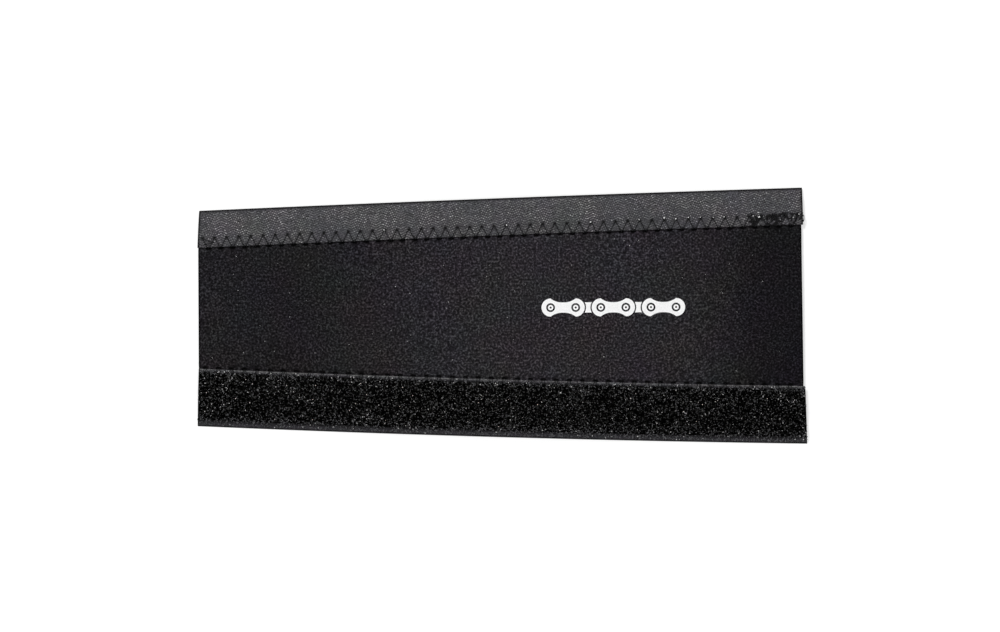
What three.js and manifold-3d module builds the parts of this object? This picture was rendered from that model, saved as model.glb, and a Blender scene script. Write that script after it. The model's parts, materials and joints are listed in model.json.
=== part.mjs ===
// A neoprene chainstay protector for a bicycle, lying flat with its outer face up.
//
// A tapered sheet of fabric-faced foam rubber wraps round the chainstay and closes on itself: a hook
// tape is sewn to one long edge with its hooks turned down, and a loop tape to the other edge with its
// pile turned up. Each tape overlaps the sheet by a narrow margin, where a zigzag lockstitch holds it.
// The stitch pulls the foam thin along the margin, and past the margin each tape bends down to the table.
//
// Millimetres. +X runs along the sheet towards its wide end, +Y points from the loop tape to the hook
// tape, and +Z points out of the outer face. The origin is under the middle of the bounding box.

import * as THREE from "three";
import { mergeVertices } from "three/addons/utils/BufferGeometryUtils.js";
import Module from "manifold-3d";

const wasm = await Module();
wasm.setup();

// Plan of the whole protector
const LENGTH = 260; // of the foam sheet
const WIDE_END = 110.3; // across both tapes, at the end beside the chainrings
const NARROW_END = 92.8; // across both tapes, at the end beside the axle
const HOOK_EDGE_BOW = 0.45; // how far each long edge swells outwards at mid-length
const LOOP_EDGE_BOW = 0.95;

// Foam sheet
const FOAM = 2.5; // thickness
const FOAM_LEAN = 0.3; // the wide end is cut this much out of square, to each side
const MARGIN = 6; // of foam under each tape
const SINK_FRONT = 0.35; // how far the stitch pulls the outer face down along a margin
const SINK_BACK = 0.5; // and the inner face up
const SINK_RUN = 1.2; // width of the slope between the full foam and the thin margin
const SINK_LEAD = 1.1; // the thin part starts this far outside the tape

// Hook tape
const HOOK_TAPE = 16; // width
const HOOK_BASE = 0.5; // thickness of the woven base
const HOOK_HEIGHT = 1.1;
const HOOK_ROWS = 7; // lengthwise rows of hooks past the margin
const HOOK_ROW = 0.6; // width of a row at the base
const HOOK_TIP = 0.4; // width of a row at the tips
const HOOK_SELVAGE = 1; // bare woven edge
const HOOK_ENDS = { left: 0.3, right: 0.4, leftSkew: -0.7, rightSkew: -0.3 };

// Loop tape
const LOOP_TAPE = 24.8; // width
const LOOP_BASE = 0.45; // thickness of the woven base
const PILE = 1.8; // height of the loops above the base
const PILE_ROUND = 1.8; // width of the pile's rounded shoulder
const PILE_ARC = 3; // steps round a shoulder
const LOOP_SELVAGE = 1.2; // bare woven edge
const LOOP_ENDS = { left: 0, right: 1, leftSkew: 0.8, rightSkew: 0.9 };

// Zigzag lockstitch seams. A stitch goes from the inner row of needle holes, just off the tape's
// edge, to the outer row inside the tape, and back.
const HOOK_STITCH = 5.23; // length of one whole zigzag
const LOOP_STITCH = 5.59;
const SEAM_INSET = 1.3; // from the end of the foam to the first needle hole
const ROW_OFF_TAPE = 0.5; // inner row, outside the tape's edge
const ROW_IN_TAPE = 4.1; // outer row, inside the tape's edge
const THREAD = 0.34; // width of the sewing thread
const THREAD_HEIGHT = 0.3; // it is drawn flat against the tape
const LEG_GAP = 0.08; // between the two legs of the needle thread in a hole
const HOLE_CLEARANCE = 0.07; // between the needle thread and the wall of its hole
const LOCK_CLEARANCE = 0.08; // between the needle thread's loop and the bobbin thread
const LEGS_JOIN = 1.35; // the two legs are drawn together over this height above the bobbin thread

const STATIONS = 4; // lengthwise steps that follow the bow of the edges
const BEND_STEPS = 4; // crosswise steps of a tape's bend down to the table
const BEND_CLEARANCE = 0.3; // a tape starts to bend this far past the foam's edge

const SEAT = FOAM - SINK_FRONT; // level of the thin margin's outer face, which carries the tapes
const VALLEY = SINK_BACK; // level of the thin margin's inner face

// The plan

// Distance from the centre line to a long edge, at x.
function halfWidth(x, bow) {
  const t = x / LENGTH + 0.5;
  const straight = THREE.MathUtils.lerp(NARROW_END, WIDE_END, t) / 2;
  return straight + bow * (1 - (2 * t - 1) ** 2);
}

// A side of the protector: its sign along Y, and where its tape starts, measured from the centre line.
const hookSide = {
  sign: 1,
  tape: HOOK_TAPE,
  inner: (x) => halfWidth(x, HOOK_EDGE_BOW) - HOOK_TAPE,
};
const loopSide = {
  sign: -1,
  tape: LOOP_TAPE,
  inner: (x) => halfWidth(x, LOOP_EDGE_BOW) - LOOP_TAPE,
};

// The y of a point that lies a distance outwards from the inner edge of a side's tape.
function acrossY(side, x, outwards) {
  return side.sign * (side.inner(x) + outwards);
}

// Solids and meshes

function solidFrom(geometry) {
  const bare = new THREE.BufferGeometry();
  bare.setAttribute("position", geometry.getAttribute("position"));
  bare.setIndex(geometry.getIndex());
  const merged = mergeVertices(bare, 1e-4);
  return new wasm.Manifold(
    new wasm.Mesh({
      numProp: 3,
      vertProperties: new Float32Array(merged.getAttribute("position").array),
      triVerts: new Uint32Array(merged.getIndex().array),
    }),
  );
}

function geometryFrom(solid) {
  const { vertProperties, triVerts, numProp } = solid.getMesh();
  const positions = new Float32Array((vertProperties.length / numProp) * 3);
  for (let i = 0; i < positions.length / 3; i++) {
    positions.set(vertProperties.subarray(i * numProp, i * numProp + 3), i * 3);
  }
  const indexed = new THREE.BufferGeometry();
  indexed.setAttribute("position", new THREE.BufferAttribute(positions, 3));
  indexed.setIndex(new THREE.BufferAttribute(new Uint32Array(triVerts), 1));
  const flat = indexed.toNonIndexed();
  flat.computeVertexNormals();
  return flat;
}

function fabric(color, roughness) {
  return new THREE.MeshStandardMaterial({ color, roughness, metalness: 0 });
}

// A section drawn in (outwards, up) is extruded over the length and laid along its edge. For each
// point of the section, place(along, across) gives x and y, with along from 0 to 1.
function layAlong(section, place) {
  const shape = new THREE.Shape(section.map(([across, up]) => new THREE.Vector2(across, up)));
  const geometry = new THREE.ExtrudeGeometry(shape, {
    depth: 1,
    steps: STATIONS,
    bevelEnabled: false,
  });
  const points = geometry.getAttribute("position");
  for (let i = 0; i < points.count; i++) {
    const up = points.getY(i);
    const [x, y] = place(points.getZ(i), points.getX(i));
    points.setXYZ(i, x, y, up);
  }
  return geometry;
}

// The foam sheet

// Its section, measured from the inner edge of each tape, with the middle of the sheet left out.
function foamSection() {
  const half = LENGTH / 4; // any width: only the distance past it is read back
  const edge = half + MARGIN;
  const low = half - SINK_LEAD;
  const full = low - SINK_RUN;
  const upper = [
    [edge, VALLEY],
    [edge, SEAT],
    [low, SEAT],
    [full, FOAM],
  ];
  const lower = [
    [full, 0],
    [low, VALLEY],
  ];
  const mirrored = (points) => points.map(([across, up]) => [-across, up]).reverse();
  return {
    half,
    points: [...upper, ...mirrored(upper), ...mirrored(lower), ...lower],
  };
}

function foamSheet() {
  const { half, points } = foamSection();
  return layAlong(points, (along, across) => {
    const side = across > 0 ? hookSide : loopSide;
    const lean = side.sign * FOAM_LEAN * along;
    const x = (along - 0.5) * LENGTH - lean;
    return [x, acrossY(side, x, Math.abs(across) - half)];
  });
}

// The tapes

// How far a strip clamped at one edge has bent where a share t of its free width is passed.
const bent = (t) => (t * t * (3 - t)) / 2;

// The underside of a tape: level on the margin, then bending so that it has dropped by fall at rest.
function underside(tapeWidth, rest, fall) {
  const start = MARGIN + BEND_CLEARANCE;
  const share = (outwards) => Math.max(0, (outwards - start) / (tapeWidth - start));
  return (outwards) => SEAT - (fall * bent(share(outwards))) / bent(share(rest));
}

// Places across the bend, from the margin to the tape's outer edge.
function bendPlaces(tapeWidth) {
  const start = MARGIN + BEND_CLEARANCE;
  const step = (tapeWidth - start) / BEND_STEPS;
  return Array.from({ length: BEND_STEPS + 1 }, (_, i) => start + i * step);
}

// A tape's outline laid along its side. The ends overhang the foam and are cut a little askew.
function tape(side, ends, section) {
  const signed = section.map(([outwards, up]) => [side.sign * outwards, up]);
  return layAlong(signed, (along, across) => {
    const outwards = side.sign * across;
    const skew = outwards / side.tape;
    const left = -LENGTH / 2 - ends.left - ends.leftSkew * skew;
    const right = LENGTH / 2 + ends.right + ends.rightSkew * skew;
    const x = THREE.MathUtils.lerp(left, right, along);
    return [x, acrossY(side, x, outwards)];
  });
}

// The hooks past the margin stand in lengthwise rows, drawn as ridges. Under the margin they are
// crushed into the foam's fabric, so the base lies on it.
function hookTape() {
  const first = MARGIN + BEND_CLEARANCE + HOOK_ROW;
  const last = HOOK_TAPE - HOOK_SELVAGE - HOOK_ROW / 2;
  const under = underside(HOOK_TAPE, last, SEAT - HOOK_HEIGHT);
  const rows = [];
  for (let i = HOOK_ROWS - 1; i >= 0; i--) {
    const middle = first + (i * (last - first)) / (HOOK_ROWS - 1);
    const tip = under(middle) - HOOK_HEIGHT;
    rows.push(
      [middle + HOOK_ROW / 2, under(middle + HOOK_ROW / 2)],
      [middle + HOOK_TIP / 2, tip],
      [middle - HOOK_TIP / 2, tip],
      [middle - HOOK_ROW / 2, under(middle - HOOK_ROW / 2)],
    );
  }
  const top = [0, ...bendPlaces(HOOK_TAPE)].map((v) => [v, under(v) + HOOK_BASE]);
  return tape(hookSide, HOOK_ENDS, [
    [0, SEAT],
    ...top,
    [HOOK_TAPE, under(HOOK_TAPE)],
    ...rows,
    [MARGIN + BEND_CLEARANCE, SEAT],
  ]);
}

// The pile stands clear of the seam, where the stitch holds it flat, and has rounded shoulders.
function loopTape() {
  const under = underside(LOOP_TAPE, LOOP_TAPE, SEAT);
  const first = ROW_IN_TAPE + needleHole().across / 2 + LOCK_CLEARANCE;
  const last = LOOP_TAPE - LOOP_SELVAGE;
  const shoulder = (from, inwards, i) => {
    const angle = (i * Math.PI) / 2 / PILE_ARC;
    const place = from + inwards * PILE_ROUND * (1 - Math.cos(angle));
    return [place, under(place) + LOOP_BASE + PILE * Math.sin(angle)];
  };
  const arc = Array.from({ length: PILE_ARC + 1 }, (_, i) => i);
  const bottom = bendPlaces(LOOP_TAPE).map((v) => [v, under(v)]);
  const crest = bendPlaces(LOOP_TAPE)
    .filter((v) => v > first + PILE_ROUND && v < last - PILE_ROUND)
    .map((v) => [v, under(v) + LOOP_BASE + PILE]);
  return tape(loopSide, LOOP_ENDS, [
    [0, SEAT],
    [0, SEAT + LOOP_BASE],
    ...arc.map((i) => shoulder(first, 1, i)),
    ...crest,
    ...arc.map((i) => shoulder(last, -1, i)).reverse(),
    [LOOP_TAPE, under(LOOP_TAPE) + LOOP_BASE],
    ...bottom.reverse(),
  ]);
}

// The seams

// Needle points of a seam in order, alternating between the row off the tape and the row in it.
function needlePoints(side, stitch, startsInTape) {
  const step = stitch / 2;
  const room = LENGTH - FOAM_LEAN - 2 * SEAM_INSET;
  const count = Math.floor(room / step) + 1;
  const first = -((count - 1) * step) / 2;
  return Array.from({ length: count }, (_, i) => {
    const x = first + i * step;
    const inTape = (i % 2 === 0) === startsInTape;
    const y = acrossY(side, x, inTape ? ROW_IN_TAPE : -ROW_OFF_TAPE);
    return { x, y, inTape };
  });
}

// The plan direction from one needle point to the next.
function runDirection(from, to) {
  return new THREE.Vector3(to.x - from.x, to.y - from.y, 0).normalize();
}

const UP = new THREE.Vector3(0, 0, 1);

// The two legs of the needle thread stand this far from the middle of their hole.
const LEG = (THREAD + THREAD_HEIGHT + LEG_GAP) / 2;

// Size of a needle hole, along the seam and across it.
function needleHole() {
  const room = THREAD + THREAD_HEIGHT + 2 * HOLE_CLEARANCE;
  return { along: 2 * LEG + room, across: room };
}

// A three-sided ring of thread at a point, flat side down, between half its width and its height.
function ring(point, sideways, upwards, height) {
  const foot = point.clone().addScaledVector(upwards, -height / 2);
  return [
    foot.clone().addScaledVector(sideways, THREAD / 2),
    foot.clone().addScaledVector(sideways, -THREAD / 2),
    point.clone().addScaledVector(upwards, height / 2),
  ];
}

// A thread through a list of rings, closed at both ends. Each side between two rings is split along
// its shorter diagonal, so that the thread stays full where it twists.
function threadThrough(rings) {
  const sides = rings[0].length;
  const corners = rings.flat();
  const positions = corners.flatMap((corner) => corner.toArray());
  const index = [];
  for (let i = 0; i + 1 < rings.length; i++) {
    for (let k = 0; k < sides; k++) {
      const [a, b] = [i * sides + k, i * sides + ((k + 1) % sides)];
      const [c, d] = [a + sides, b + sides];
      const falling = corners[c].distanceTo(corners[b]) < corners[a].distanceTo(corners[d]);
      index.push(...(falling ? [a, c, b, b, c, d] : [a, c, d, a, d, b]));
    }
  }
  const last = (rings.length - 1) * sides;
  index.push(0, 1, 2, last, last + 2, last + 1);
  const geometry = new THREE.BufferGeometry();
  geometry.setAttribute("position", new THREE.Float32BufferAttribute(positions, 3));
  geometry.setIndex(index);
  return geometry;
}

// The direction across a stitch, to the left of its run.
function acrossRun(direction) {
  return new THREE.Vector3(-direction.y, direction.x, 0);
}

// The needle thread lies on the tape, and at each needle point goes down its hole and back up.
function needleThread(points, tapeTop) {
  const level = tapeTop + THREAD_HEIGHT / 2;
  const lock = VALLEY + LOCK_CLEARANCE + LEGS_JOIN / 2;
  const rings = [];
  points.forEach((point, i) => {
    const middle = new THREE.Vector3(point.x, point.y, 0);
    const bottom = middle.clone().setZ(lock);
    const across = new THREE.Vector3(0, 1, 0);
    if (i > 0) {
      const arriving = runDirection(points[i - 1], point);
      const mouth = middle.clone().setZ(level).setX(point.x - LEG);
      rings.push(ring(mouth, acrossRun(arriving), UP.clone().add(arriving), THREAD_HEIGHT));
    }
    rings.push(ring(bottom, across, UP, LEGS_JOIN));
    if (i + 1 < points.length) {
      const leaving = runDirection(point, points[i + 1]);
      const mouth = middle.clone().setZ(level).setX(point.x + LEG);
      rings.push(ring(mouth, acrossRun(leaving), UP.clone().sub(leaving), THREAD_HEIGHT));
    }
  });
  return threadThrough(rings);
}

// The bobbin thread lies in the valley of the inner face, under the loops of the needle thread. Each
// of its corners is mitred in the plane across the seam, which widens its section there.
function bobbinThread(points) {
  const level = VALLEY - THREAD_HEIGHT / 2;
  const mitre = 1 / runDirection(points[0], points[1]).x;
  const across = new THREE.Vector3(0, -mitre, 0);
  const rings = points.map((point) => {
    const corner = new THREE.Vector3(point.x, point.y, level);
    return ring(corner, across, UP.clone().negate(), THREAD_HEIGHT);
  });
  return threadThrough(rings);
}

// One box down through the tape and the foam for each needle point.
function needleHoles(points) {
  const hole = needleHole();
  const height = 4 * FOAM;
  const boxes = points.map((point) => {
    const box = new THREE.BoxGeometry(hole.along, hole.across, height);
    box.translate(point.x, point.y, FOAM / 2);
    return solidFrom(box);
  });
  return wasm.Manifold.union(boxes);
}

// The assembly

const protector = new THREE.Group();

function addPiece(name, solid, material) {
  const mesh = new THREE.Mesh(geometryFrom(solid), material);
  mesh.name = name;
  protector.add(mesh);
}

const jersey = fabric(0x2a282b, 0.95);
const hookWeave = fabric(0x4c4c4e, 0.8);
const loopPile = fabric(0x141414, 1);
const thread = fabric(0x121214, 0.6);

const hookPoints = needlePoints(hookSide, HOOK_STITCH, true);
const loopPoints = needlePoints(loopSide, LOOP_STITCH, false);
const hookHoles = needleHoles(hookPoints);
const loopHoles = needleHoles(loopPoints);

const panel = solidFrom(foamSheet()).subtract(hookHoles).subtract(loopHoles);
addPiece("neoprene_panel", panel, jersey);
addPiece("hook_tape", solidFrom(hookTape()).subtract(hookHoles), hookWeave);
addPiece("loop_tape", solidFrom(loopTape()).subtract(loopHoles), loopPile);

for (const [seam, points, base] of [
  ["hook_seam", hookPoints, HOOK_BASE],
  ["loop_seam", loopPoints, LOOP_BASE],
]) {
  addPiece(`${seam}_needle_thread`, solidFrom(needleThread(points, SEAT + base)), thread);
  addPiece(`${seam}_bobbin_thread`, solidFrom(bobbinThread(points)), thread);
}

// The origin goes under the middle of the bounding box.
const box = new THREE.Box3().setFromObject(protector);
const middle = box.getCenter(new THREE.Vector3());
protector.position.set(-middle.x, -middle.y, -box.min.z);

export default protector;
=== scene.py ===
# %% [markdown]
# # A neoprene chainstay protector, lying open
# The protector is a soft wrap. A foam rubber sheet with a knitted face on each side is closed round the
# chainstay by a hook tape and a loop tape, which are sewn to its long edges with a zigzag stitch.
# Here it lies flat, outer face up, as it would on a table. The solids of the frame give every size, and
# this lesson dresses them: knit, weave, hooks, pile and thread, each made where the real one is.

import json

import bpy
import numpy as np
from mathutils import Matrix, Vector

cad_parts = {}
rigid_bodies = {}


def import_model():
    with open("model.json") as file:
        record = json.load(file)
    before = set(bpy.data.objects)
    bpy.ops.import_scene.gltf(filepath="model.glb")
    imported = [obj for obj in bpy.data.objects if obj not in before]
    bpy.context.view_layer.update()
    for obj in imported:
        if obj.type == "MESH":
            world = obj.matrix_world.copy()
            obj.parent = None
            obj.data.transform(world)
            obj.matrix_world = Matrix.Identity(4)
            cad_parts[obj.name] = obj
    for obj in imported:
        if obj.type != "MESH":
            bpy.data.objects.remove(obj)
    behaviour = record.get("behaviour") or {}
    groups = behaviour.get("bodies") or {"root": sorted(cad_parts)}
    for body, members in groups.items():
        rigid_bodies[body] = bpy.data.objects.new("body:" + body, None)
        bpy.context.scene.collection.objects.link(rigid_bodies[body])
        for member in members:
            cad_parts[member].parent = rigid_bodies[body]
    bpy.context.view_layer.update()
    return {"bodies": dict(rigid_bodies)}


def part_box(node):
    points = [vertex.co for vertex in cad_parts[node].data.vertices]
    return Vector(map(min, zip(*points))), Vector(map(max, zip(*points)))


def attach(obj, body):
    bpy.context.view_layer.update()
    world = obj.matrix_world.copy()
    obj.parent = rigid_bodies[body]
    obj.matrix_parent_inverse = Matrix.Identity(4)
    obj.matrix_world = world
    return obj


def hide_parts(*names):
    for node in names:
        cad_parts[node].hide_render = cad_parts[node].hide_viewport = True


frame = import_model()

# %% [markdown]
# ## Sizes
# All lengths below are millimetres, and a mesh is scaled to metres once, when it is made. The sizes are
# the driving sizes of the solids. A place on a side of the protector is given by x, along the sheet, and
# by v, the distance outwards from the inner edge of that side's tape: v is negative on the bare foam.

# %% Driving sizes
MM = 0.001
LENGTH, WIDE_END, NARROW_END = 260, 110.3, 92.8
HALF = LENGTH / 2
FOAM, MARGIN = 2.5, 6
FOAM_LEAN = 0.3
SEAT, VALLEY = 2.15, 0.5  # levels of the outer and inner face where the stitch pulls the foam thin
BEND_CLEARANCE = 0.3
ROW_OFF_TAPE, ROW_IN_TAPE = -0.5, 4.1  # v of the two rows of needle holes
SEAM_INSET = 1.3
THREAD = 0.36  # diameter

# Tape is the tape's width and base its thickness. Its cut ends pass the foam's by left and right, and by
# the skew more at its outer edge. At v = rest it has come down by its fall, so that it or its hooks touch
# the table. Stitch is the length of one zigzag, and edge_shade the shade on the foam along the tape.
HOOK = {
    "sign": 1, "bow": 0.45, "tape": 16.0, "base": 0.5, "stitch": 5.23, "starts_in_tape": True,
    "left": 0.3, "right": 0.4, "left_skew": -0.7, "right_skew": -0.3,
    "rest": 14.7, "fall": SEAT - 1.1, "edge_shade": 0.6,
}
LOOP = {
    "sign": -1, "bow": 0.95, "tape": 24.8, "base": 0.45, "stitch": 5.59, "starts_in_tape": False,
    "left": 0.0, "right": 1.0, "left_skew": 0.8, "right_skew": 0.9,
    "rest": 24.8, "fall": SEAT, "edge_shade": 0.0,
}
SIDES = {"hook": HOOK, "loop": LOOP}

rng = np.random.default_rng(11)

# %% [markdown]
# ## The plan
# Each long edge is a straight taper with a slight outward bow. The frame stands its origin under the
# middle of the box, so the plan is moved by what the boxes of the sheet and the hook tape say.

# %% Where things are
panel_low, panel_high = (np.array(corner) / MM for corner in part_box("neoprene_panel"))
hook_high = np.array(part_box("hook_tape")[1]) / MM


def inner_edge(side, x):
    """Distance of the tape's inner edge from the centre line: half the tapered width, plus a bow that is
    a parabola with its top at mid-length, less the tape's width."""
    t = x / LENGTH + 0.5
    taper = (NARROW_END + (WIDE_END - NARROW_END) * t) / 2
    return taper + side["bow"] * (1 - (2 * t - 1) ** 2) - side["tape"]


SHIFT_X = panel_low[0] + HALF
far_x = HALF + HOOK["right"] + HOOK["right_skew"]
SHIFT_Y = hook_high[1] - inner_edge(HOOK, far_x) - HOOK["tape"]
print("the plan is moved by, mm:", round(SHIFT_X, 4), round(SHIFT_Y, 4))


def joined(*parts):
    """Arrays and numbers side by side in the last axis of one array, such as x, y and z of points."""
    return np.stack(np.broadcast_arrays(*parts), -1)


def place(side, x, v, z):
    """Points of a side in the frame, in mm."""
    return joined(x + SHIFT_X, side["sign"] * (inner_edge(side, x) + v) + SHIFT_Y, z)


def tape_ends(side, v):
    """x of a tape's two cut ends at v. The cut is a little askew."""
    share = v / side["tape"]
    left = -HALF - side["left"] - side["left_skew"] * share
    return left, HALF + side["right"] + side["right_skew"] * share


# %% Curves that many forms share
def smooth_step(low, high, value):
    """0 below low, 1 above high, and a cubic between them."""
    t = np.clip((value - low) / (high - low), 0, 1)
    return t * t * (3 - 2 * t)


def bell(distance, width, power=2):
    """1 at no distance, falling off as e to minus (distance / width) to a power."""
    return np.exp(-((distance / width) ** power))


def patches(x, y, cell, seed, count=512):
    """Soft random patches from 0 to 1: random values on a grid of square cells, blended between the four
    corners of a cell with a cubic."""
    values = np.random.default_rng(seed).random((count, count))
    x, y = np.broadcast_arrays(x / cell + count / 2, y / cell + count / 2)
    i, j = np.floor(x).astype(int), np.floor(y).astype(int)
    a, b = smooth_step(0, 1, x - i), smooth_step(0, 1, y - j)
    low = values[i, j] * (1 - a) + values[i + 1, j] * a
    high = values[i, j + 1] * (1 - a) + values[i + 1, j + 1] * a
    return low * (1 - b) + high * b


# %% [markdown]
# ## Meshes from arrays
# Two kinds of form make almost every piece: a closed plate between two grids, and a bundle of tubes
# along paths. Whole arrays fill them, as a loop over vertices would take minutes for the pile alone.

# %% Mesh helpers
collection = bpy.context.scene.collection
CREASE = 40  # degrees from which an edge is shaded sharp


def new_piece(name, points, faces, uv=None, marks=None, sharp=None):
    """An object from points in mm and a list of face arrays, with an optional UV point in mm for each
    vertex, and optional marks: values from 0 to 1 for each vertex, which a material reads by name."""
    mesh = bpy.data.meshes.new(name)
    corners = np.concatenate([f.ravel() for f in faces]).astype(np.int32)
    sizes = np.concatenate([np.full(len(f), f.shape[1]) for f in faces]).astype(np.int32)
    mesh.vertices.add(len(points))
    mesh.vertices.foreach_set("co", (points * MM).astype(np.float32).ravel())
    mesh.loops.add(len(corners))
    mesh.loops.foreach_set("vertex_index", corners)
    mesh.polygons.add(len(sizes))
    mesh.polygons.foreach_set("loop_start", (np.cumsum(sizes) - sizes).astype(np.int32))
    mesh.polygons.foreach_set("use_smooth", np.ones(len(sizes), bool))
    if uv is not None:
        layer = mesh.uv_layers.new(name="UVMap")
        layer.data.foreach_set("uv", uv[corners].astype(np.float32).ravel())
    for mark, values in (marks or {}).items():
        layer = mesh.attributes.new(mark, "FLOAT", "POINT")
        layer.data.foreach_set("value", values.astype(np.float32))
    mesh.update(calc_edges=True)
    if sharp is not None:
        mesh.set_sharp_from_angle(angle=np.radians(sharp))
    piece = bpy.data.objects.new(name, mesh)
    collection.objects.link(piece)
    print(f"{name}: {len(points)} points, {int((sizes - 2).sum())} triangles")
    return piece


def plate(name, upper, lower, uv, pressed=None):
    """A closed plate: the grid upper over the grid lower, both n by m points, and a wall of quads round
    the rim. x grows along the first axis and y along the second. Pressed is a mark of the upper grid,
    which the materials darken by: painted shade, and in the hook tape's tacked patch its matted thread."""
    n, m = upper.shape[:2]
    index = np.arange(n * m).reshape(n, m)
    top = joined(index[:-1, :-1], index[1:, :-1], index[1:, 1:], index[:-1, 1:]).reshape(-1, 4)
    rim = np.concatenate([index[:, 0], index[-1, 1:], index[-2::-1, -1], index[0, -2:0:-1]])
    following = np.roll(rim, -1)
    wall = joined(rim, rim + n * m, following + n * m, following)
    points = np.concatenate([upper.reshape(-1, 3), lower.reshape(-1, 3)])
    doubled = np.concatenate([uv.reshape(-1, 2)] * 2)
    marks = None
    if pressed is not None:
        marks = {"pressed": np.concatenate([pressed.ravel(), 0 * pressed.ravel()])}
    piece = new_piece(name, points, [top, top[:, ::-1] + n * m, wall], doubled, marks, CREASE)
    return piece, 2 * len(top)


def unit(vectors):
    """Vectors divided by their lengths."""
    return vectors / np.maximum(np.linalg.norm(vectors, axis=-1, keepdims=True), 1e-9)


def tubes(name, paths, across, radius, sides, plies=0, lay=1.0, shine=None, groove=0.24):
    """Closed tubes along many paths at once, paths being (tubes, points, 3). A corner lies at the path
    plus radius times (cosine times side + sine times up), where side is across made square to the path
    and up is the path's direction crossed with side. Across and radius may be given once for all, for
    each tube or for each point. With plies, the radius dips by the share groove between that many
    strands, which turn once in a length of lay. The mark shine, given for each tube, carries
    painted sheen and glints."""
    count, steps = paths.shape[:2]
    ahead = unit(np.gradient(paths, axis=1))
    side = unit(across - (across * ahead).sum(-1, keepdims=True) * ahead)
    up = np.cross(ahead, side)
    angle = np.arange(sides) * 2 * np.pi / sides
    reach = np.broadcast_to(np.asarray(radius, float), (count, steps))[..., None]
    if plies:
        stride = np.linalg.norm(np.diff(paths, axis=1, prepend=paths[:, :1]), axis=-1)
        turned = np.cumsum(stride, axis=1)[..., None] * 2 * np.pi / lay
        reach = reach * (1 - groove + groove * np.abs(np.cos((angle - turned) * plies / 2)))
    else:
        reach = np.repeat(reach, sides, axis=2)
    circle = np.cos(angle)[:, None] * side[:, :, None] + np.sin(angle)[:, None] * up[:, :, None]
    points = (paths[:, :, None] + reach[..., None] * circle).reshape(-1, 3)
    index = np.arange(count * steps * sides).reshape(count, steps, sides)
    turn = np.roll(index, -1, axis=2)
    wall = joined(index[:, :-1], turn[:, :-1], turn[:, 1:], index[:, 1:]).reshape(-1, 4)
    caps = np.concatenate([index[:, 0, ::-1], index[:, -1]])
    marks = None if shine is None else {"shine": np.repeat(shine, steps * sides)}
    return new_piece(name, points, [wall, caps], marks=marks)


# %% [markdown]
# ## Stitch positions
# The machine leaves a row of needle holes just off the tape's edge and another inside the tape, taking
# turns. The thread, the dimples in the foam and the pressed pile all read the same positions.

# %% Needle points
def needle_points(side):
    """x and v of a seam's needle holes: half a zigzag apart in x, with v alternating between the rows."""
    step = side["stitch"] / 2
    count = int((LENGTH - FOAM_LEAN - 2 * SEAM_INSET) // step) + 1
    x = (np.arange(count) - (count - 1) / 2) * step
    in_tape = (np.arange(count) % 2 == 0) == side["starts_in_tape"]
    return x, np.where(in_tape, ROW_IN_TAPE, ROW_OFF_TAPE), in_tape


def from_hole(side, x, row):
    """Distance in x from the nearest needle hole of a row, with its sign."""
    holes, v, _ = needle_points(side)
    first, last = holes[v == row][[0, -1]]
    nearest = first + np.round((np.clip(x, first, last) - first) / side["stitch"]) * side["stitch"]
    return x - nearest


def dimples(side, x, v, row, radius):
    """1 at each needle hole of a row, falling off as a bell curve of that radius."""
    return bell(np.hypot(from_hole(side, x, row), v - row), radius)


def under_thread(side, x, v, radius):
    """1 below the needle thread's zigzag, falling off as a bell curve. At a share s of the way from the
    row off the tape to the row in it, the two legs are s times half a stitch from the hole off the tape."""
    across, half = ROW_IN_TAPE - ROW_OFF_TAPE, side["stitch"] / 2
    share = (v - ROW_OFF_TAPE) / across
    off = np.abs(np.abs(from_hole(side, x, ROW_OFF_TAPE)) - np.clip(share, 0, 1) * half)
    slope = np.hypot(half, across) / across
    inside = smooth_step(-0.1, 0.05, share) * smooth_step(1.1, 0.95, share)
    return bell(off / slope, radius) * inside


for label, side in SIDES.items():
    holes = needle_points(side)[0]
    print(label, "seam:", len(holes), "needle holes, x", round(holes[0], 2), "to", round(holes[-1], 2))

# %% [markdown]
# ## The foam sheet
# One closed plate carries the whole sheet. Along a seam the stitch pulls both faces in, deepest at the
# needle holes, and the foam swells between them. These puckers catch the light, so they are real relief.
# A mark says where shade is painted on the knit, so that its material is darker in the needle holes,
# along the hook tape's edge and at the cut ends.

# %% Foam sheet
SINK_START, SINK_END = -2.3, -0.4  # v between which the faces draw together
SWELL, SWELL_BELOW = 0.22, 0.45  # height of the swell, and the share of it that lies below the face
SWELL_OFF, SWELL_WIDTH = 1.2, 1.5  # how far its top is off the row of holes, and its width
PIT, INNER_PIT = 0.5, 0.12  # depths at the needle holes
EDGE_GROOVE = 0.2  # depth along the tape's edge


def sunk(side, x, v):
    """Levels of the outer and the inner face: full foam on the bare side, the sunk level under the tape,
    a smooth slope between, dimples at the needle holes and a swell halfway between them."""
    sink = smooth_step(SINK_START, SINK_END, v)
    near = bell(v - ROW_OFF_TAPE + SWELL_OFF, SWELL_WIDTH)
    swell = 0.5 - 0.5 * np.cos(from_hole(side, x, ROW_OFF_TAPE) * 2 * np.pi / side["stitch"])
    outer = FOAM + (SEAT - FOAM) * sink + SWELL * near * (swell - SWELL_BELOW)
    outer = outer - EDGE_GROOVE * bell(v + 0.4, 0.5) - PIT * dimples(side, x, v, ROW_OFF_TAPE, 0.55)
    pits = dimples(side, x, v, ROW_OFF_TAPE, 0.7) + dimples(side, x, v, ROW_IN_TAPE, 0.7)
    return outer, VALLEY * sink + INNER_PIT * pits


def seam_shade_mark(side, x, v):
    """Mark of painted shade on the knit: a dark slot at each needle hole off the tape, longer than it is
    wide, and along the hook tape also the narrow shade under the tape's edge."""
    slots = bell(from_hole(side, x, ROW_OFF_TAPE), 1.1, 4) * bell(v + 0.55, 0.6, 4)
    return np.clip(1.5 * slots + side["edge_shade"] * bell(v + 0.2, 0.4), 0, 1)


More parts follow.
